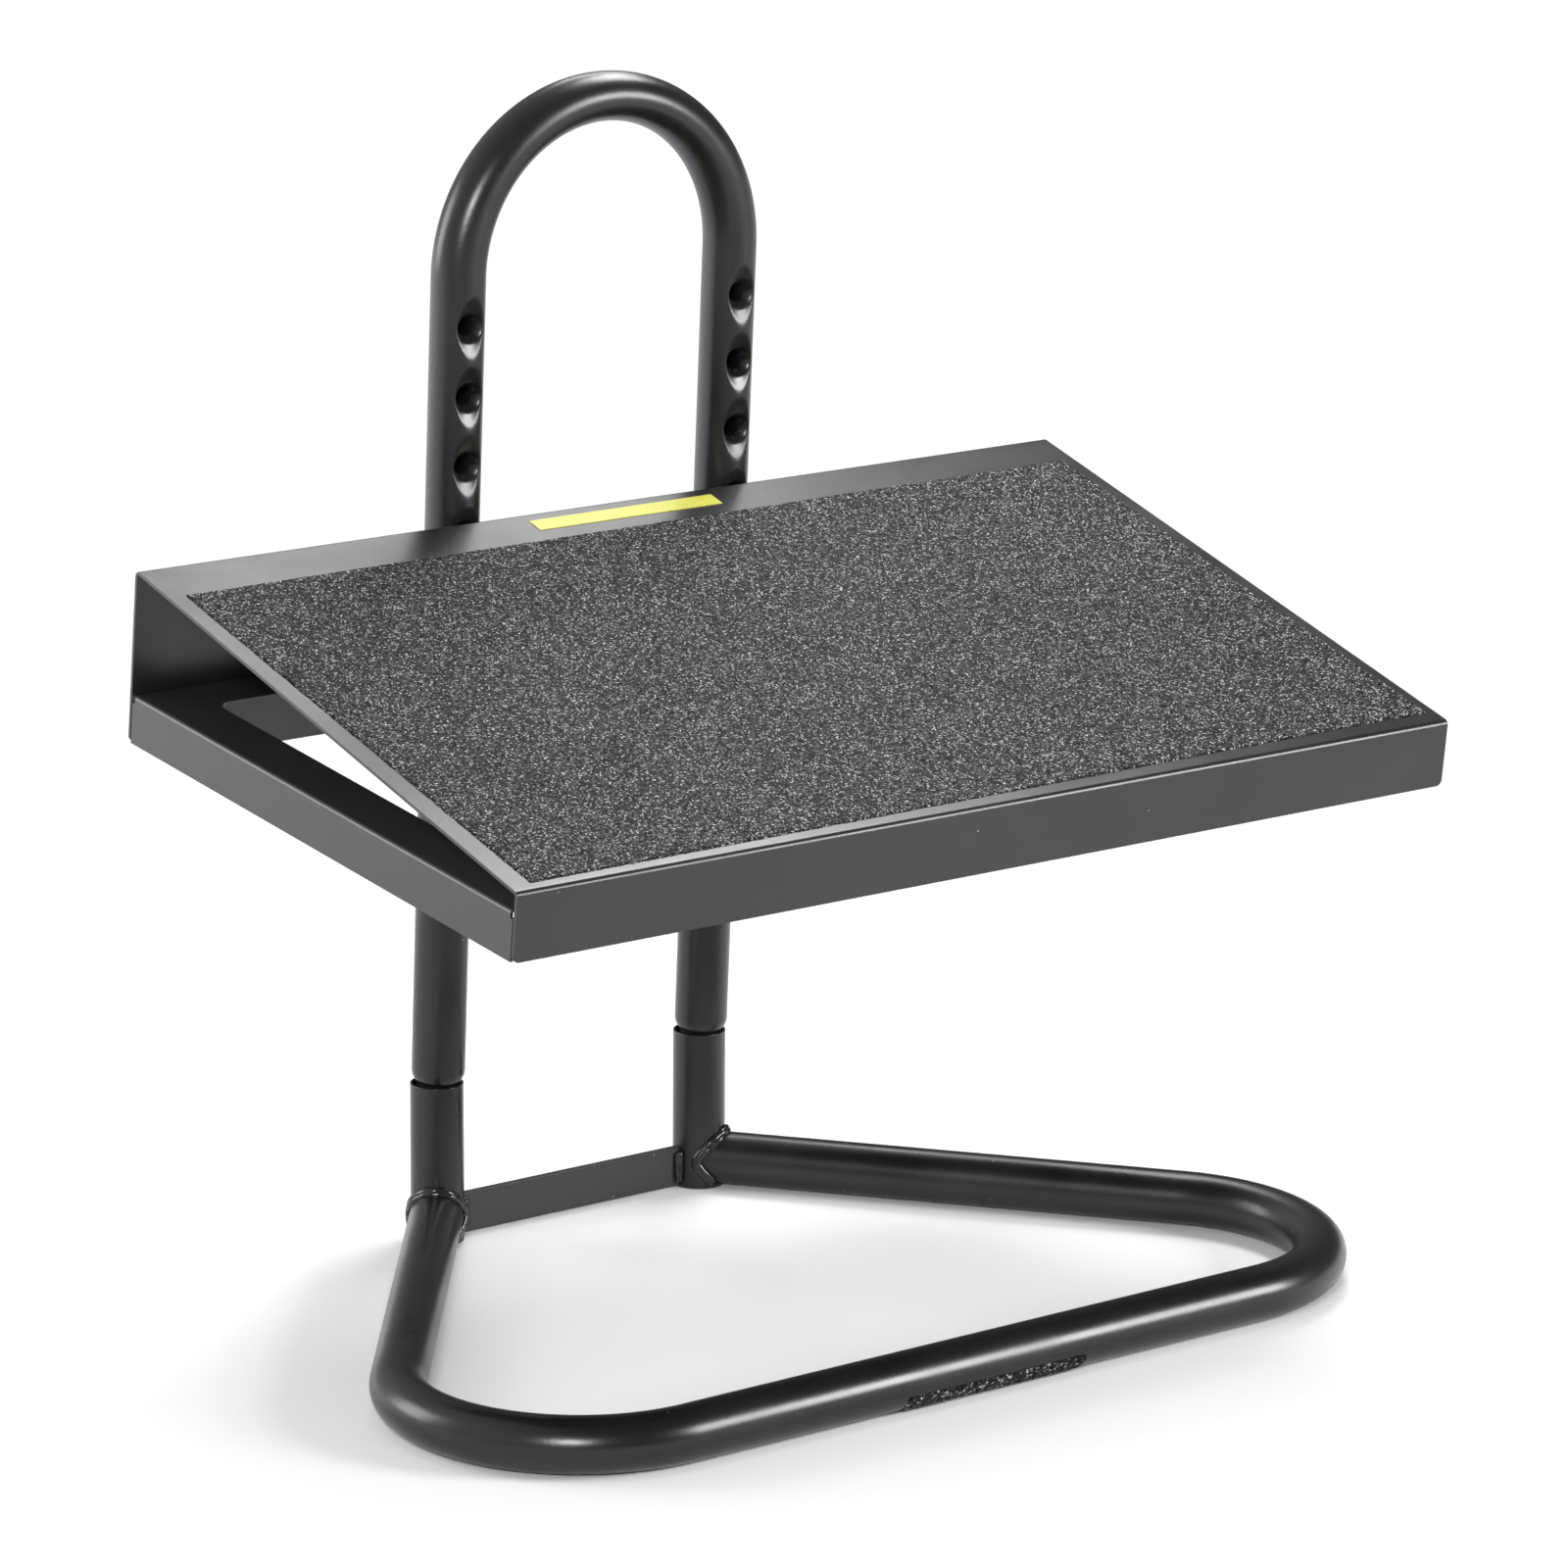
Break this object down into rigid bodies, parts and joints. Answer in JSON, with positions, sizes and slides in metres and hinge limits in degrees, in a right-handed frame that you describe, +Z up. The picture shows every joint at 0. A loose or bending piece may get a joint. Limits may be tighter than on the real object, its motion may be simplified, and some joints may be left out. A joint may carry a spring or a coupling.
{
  "type": "adjustable footrest",
  "caption": "Free-standing footrest: a sloping anti-slip steel platform that slides on the legs of a tubular arch and hangs on bolts in dimpled holes, over a bent-tube floor loop.",
  "frame": {"origin": "on the floor, at the middle of the bounding box in X and Y", "axes": "+Z up, +X to the right as the sitter's feet arrive, +Y away from the sitter, towards the posts"},
  "size_m": [0.508, 0.3518, 0.5467],
  "materials": {
    "black_coat": "satin black powder coat",
    "weld_coat": "glossy black coat over weld beads",
    "tread_grit": "coarse charcoal anti-slip grit",
    "pad_grit": "black grit on a rubber backing",
    "marker_vinyl": "smooth yellow vinyl",
    "black_plastic": "matte black plastic",
    "zinc_steel": "bright zinc plate"
  },
  "bodies": {
    "base": {"base_loop": "black_coat", "rear_brace": "black_coat", "front_grip_pad": "pad_grit", "left_post": "black_coat", "left_post_glide": "black_plastic", "left_loop_weld": "weld_coat", "left_brace_weld": "weld_coat", "right_post": "black_coat", "right_post_glide": "black_plastic", "right_loop_weld": "weld_coat", "right_brace_weld": "weld_coat"},
    "loop": {"upper_loop": "black_coat", "left_bolt": "zinc_steel", "right_bolt": "zinc_steel"},
    "platform": {"foot_plate": "black_coat", "tray": "black_coat", "tread_sheet": "tread_grit", "marker_strip": "marker_vinyl", "left_guide_strap": "black_coat", "left_strap_rivets": "zinc_steel", "right_guide_strap": "black_coat", "right_strap_rivets": "zinc_steel"},
    "left_washer_body": {"left_washer": "zinc_steel"},
    "left_knob_body": {"left_knob": "black_plastic", "left_knob_nut": "zinc_steel"},
    "right_washer_body": {"right_washer": "zinc_steel"},
    "right_knob_body": {"right_knob": "black_plastic", "right_knob_nut": "zinc_steel"}
  },
  "joints": [
    {"name": "loop_lift", "type": "slide", "parent": "base", "child": "loop", "axis": [0, -0.0523, 0.9986], "range_m": [0, 0.036]},
    {"name": "platform_height", "type": "slide", "parent": "loop", "child": "platform", "axis": [0, -0.0523, 0.9986], "range_m": [0, 0.128]},
    {"name": "left_clamp_travel", "type": "slide", "parent": "loop", "child": "left_washer_body", "axis": [0, 0.9986, 0.0523], "range_m": [0, 0.0038]},
    {"name": "left_knob_turn", "type": "hinge", "parent": "left_washer_body", "child": "left_knob_body", "pos_m": [-0.0755, 0.15612, 0.31031], "axis": [0, 0.9986, 0.0523], "range_deg": [0, 1080]},
    {"name": "right_clamp_travel", "type": "slide", "parent": "loop", "child": "right_washer_body", "axis": [0, 0.9986, 0.0523], "range_m": [0, 0.0038]},
    {"name": "right_knob_turn", "type": "hinge", "parent": "right_washer_body", "child": "right_knob_body", "pos_m": [0.0755, 0.15612, 0.31031], "axis": [0, 0.9986, 0.0523], "range_deg": [0, 1080]}
  ],
  "couplings": [
    {"joint": "left_clamp_travel", "follows": "left_knob_turn", "m_per_rad": 0.00019894},
    {"joint": "right_clamp_travel", "follows": "right_knob_turn", "m_per_rad": 0.00019894}
  ]
}
